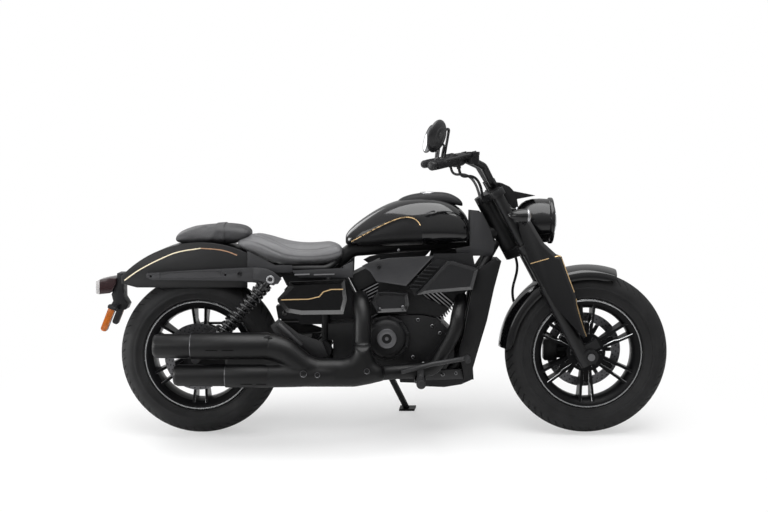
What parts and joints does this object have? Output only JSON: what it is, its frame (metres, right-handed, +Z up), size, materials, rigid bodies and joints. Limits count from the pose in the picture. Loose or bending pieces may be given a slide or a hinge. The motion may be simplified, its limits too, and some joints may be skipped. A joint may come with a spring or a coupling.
{
  "type": "cruiser motorcycle",
  "caption": "Low V-twin cruiser motorcycle leaning on its side stand, with a steering fork, spoked wheels that turn and a folding stand.",
  "frame": {"origin": "on the ground under the middle of the parked machine's length and width", "axes": "+X forward, +Y to the rider's left, +Z up; the machine leans to its left onto the side stand"},
  "size_m": [2.1101, 0.8072, 1.1879],
  "materials": {
    "gloss_black": "gloss",
    "satin_black": "satin",
    "dark_grey": "satin",
    "engine_black": "satin",
    "exhaust_black": "matte",
    "steel": "brushed",
    "cast_alloy": "satin",
    "black_plastic": "matte",
    "tyre": "matte",
    "rubber": "matte",
    "seat_cover": "matte",
    "amber_lens": "gloss",
    "dark_lens": "gloss"
  },
  "bodies": {
    "root": {"air_scoops": "dark_grey", "battery_box": "black_plastic", "belly_pan": "black_plastic", "crankcase": "engine_black", "drive_belt": "rubber", "engine_covers": "engine_black", "exhaust_headers": "exhaust_black", "fender_struts": "dark_grey", "foot_levers": "cast_alloy", "footpegs": "cast_alloy", "frame_panels": "dark_grey", "front_cylinder": "engine_black", "front_pulley": "cast_alloy", "fuel_tank": "gloss_black", "intake_cover": "dark_grey", "main_frame": "satin_black", "mufflers": "exhaust_black", "passenger_pegs": "cast_alloy", "pillion_seat": "seat_cover", "plate_bracket": "black_plastic", "radiator": "engine_black", "radiator_shrouds": "black_plastic", "rear_axle": "steel", "rear_caliper": "cast_alloy", "rear_cylinder": "engine_black", "rear_fender": "gloss_black", "rear_indicators": "amber_lens", "rider_seat": "seat_cover", "shock_dampers": "cast_alloy", "shock_springs": "satin_black", "side_covers": "gloss_black", "swingarm": "satin_black", "tail_lamp": "dark_lens", "tank_console": "dark_grey"},
    "fork": {"lower_yoke": "satin_black", "upper_yoke": "satin_black", "fork_legs": "satin_black", "fork_covers": "gloss_black", "front_axle": "steel", "front_caliper": "cast_alloy", "front_fender": "gloss_black", "headlamp": "gloss_black", "instrument_pod": "black_plastic", "front_indicators": "gloss_black", "handlebar": "satin_black", "grips": "rubber", "bar_controls": "black_plastic", "hand_levers": "cast_alloy", "mirrors": "black_plastic", "brake_hose": "rubber", "bar_looms": "rubber"},
    "front_wheel": {"front_tyre": "tyre", "front_wheel_rim": "satin_black", "front_brake_disc": "steel"},
    "rear_wheel": {"rear_tyre": "tyre", "rear_wheel_rim": "satin_black", "rear_brake_disc": "steel", "rear_pulley": "cast_alloy"},
    "side_stand": {"side_stand": "satin_black"}
  },
  "joints": [
    {"name": "steering", "type": "hinge", "parent": "root", "child": "fork", "pos_m": [0.47614, -0.04323, 0.66727], "axis": [-0.4741, 0.1225, 0.8719], "range_deg": [-33, 33]},
    {"name": "front_wheel_spin", "type": "hinge", "parent": "fork", "child": "front_wheel", "pos_m": [0.75414, -0.09503, 0.29869], "axis": [0, 0.9903, -0.1392], "continuous": true},
    {"name": "rear_wheel_spin", "type": "hinge", "parent": "root", "child": "rear_wheel", "pos_m": [-0.67586, -0.09556, 0.29493], "axis": [0, 0.9903, -0.1392], "continuous": true},
    {"name": "side_stand_fold", "type": "hinge", "parent": "root", "child": "side_stand", "pos_m": [0.01414, 0.00095, 0.20563], "axis": [0, 0.9205, 0.3907], "range_deg": [0, 88]}
  ]
}
